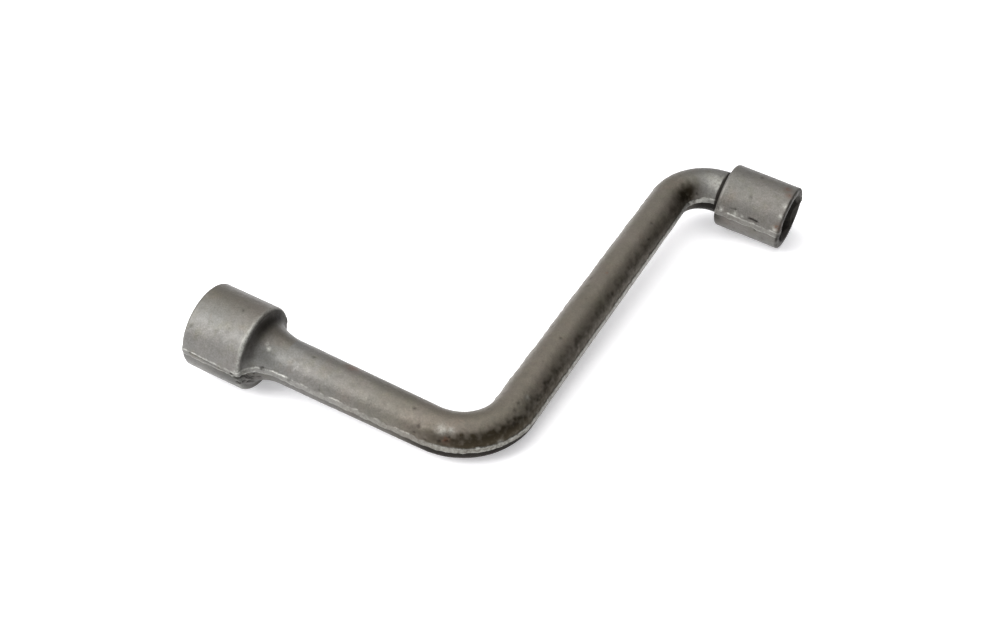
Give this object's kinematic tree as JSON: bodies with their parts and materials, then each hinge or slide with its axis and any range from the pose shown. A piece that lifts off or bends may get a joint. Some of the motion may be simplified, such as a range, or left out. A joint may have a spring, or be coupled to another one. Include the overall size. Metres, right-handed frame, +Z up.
{
  "type": "combination wrench",
  "caption": "Cranked hand wrench, drop forged in one piece, with a hexagon socket of a different size at each end for turning nuts and bolts by hand.",
  "frame": {"origin": "on the floor, under the middle of the wrench's box as it lies at rest", "axes": "+Z up from the floor, +Y along the main bar towards the small socket's end, +X the way the small socket's mouth faces (the large socket's mouth faces -X)"},
  "size_m": [0.1686, 0.204, 0.0353],
  "materials": {
    "forged_steel": "dull, oxidised drop-forged steel, a little brighter where worn"
  },
  "bodies": {
    "root": {"large_socket": "forged_steel", "cranked_bar": "forged_steel", "small_socket": "forged_steel"}
  },
  "joints": []
}
